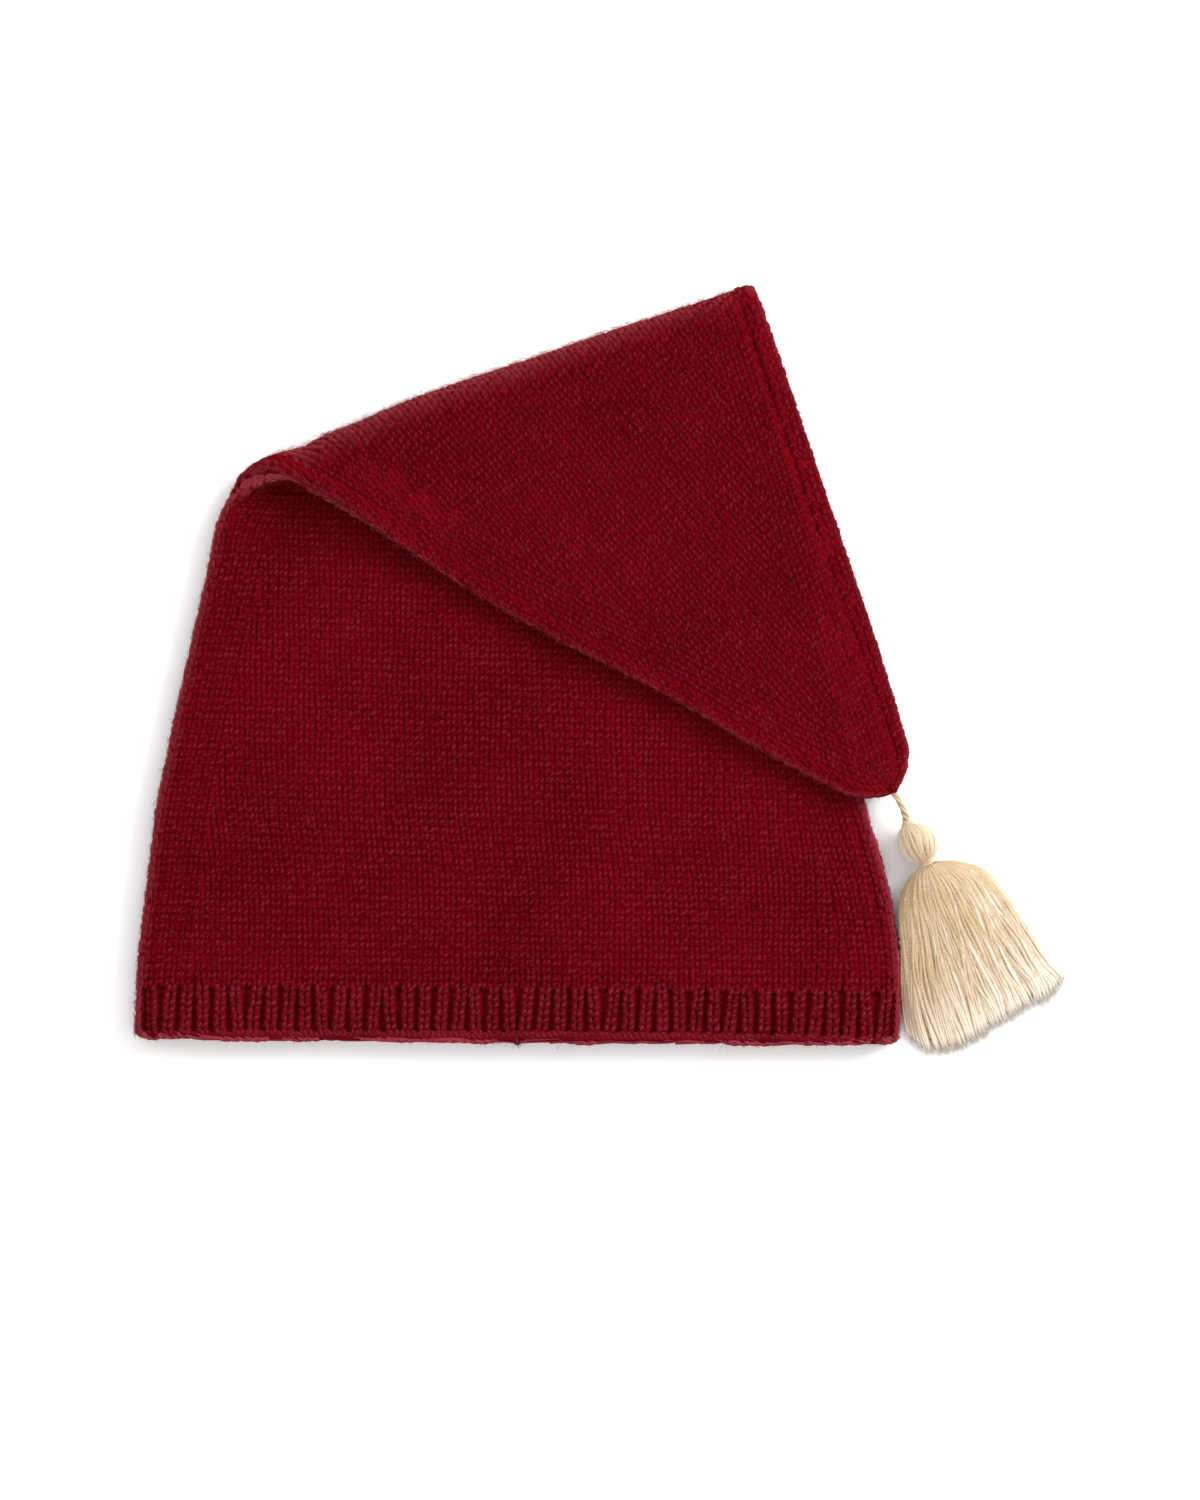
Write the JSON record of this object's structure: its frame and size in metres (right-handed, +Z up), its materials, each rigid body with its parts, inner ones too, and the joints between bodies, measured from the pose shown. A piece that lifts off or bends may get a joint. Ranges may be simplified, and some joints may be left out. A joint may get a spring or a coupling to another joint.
{
  "type": "knit hat",
  "caption": "Long pointed knit cap lying flat with its upper half folded over, ribbed hem round an open mouth, short thread and tassel at the point.",
  "frame": {"origin": "on the surface that the cap lies on, under the centre of its box", "axes": "+Z up from that surface, +Y from the mouth towards the fold, +X towards the side where the point and tassel lie"},
  "size_m": [0.2919, 0.2426, 0.0212],
  "materials": {
    "wool_knit": "soft fuzzy dark red wool stockinette, matt",
    "wool_rib": "dark red wool in one by one ribbing, matt",
    "tassel_wool": "cream wool yarn, matt"
  },
  "bodies": {
    "root": {"front_panel": "wool_knit", "back_panel": "wool_knit", "rib_band": "wool_rib", "tassel_thread": "tassel_wool", "tassel_head": "tassel_wool", "tassel_tie": "tassel_wool", "tassel_skirt": "tassel_wool"}
  },
  "joints": []
}
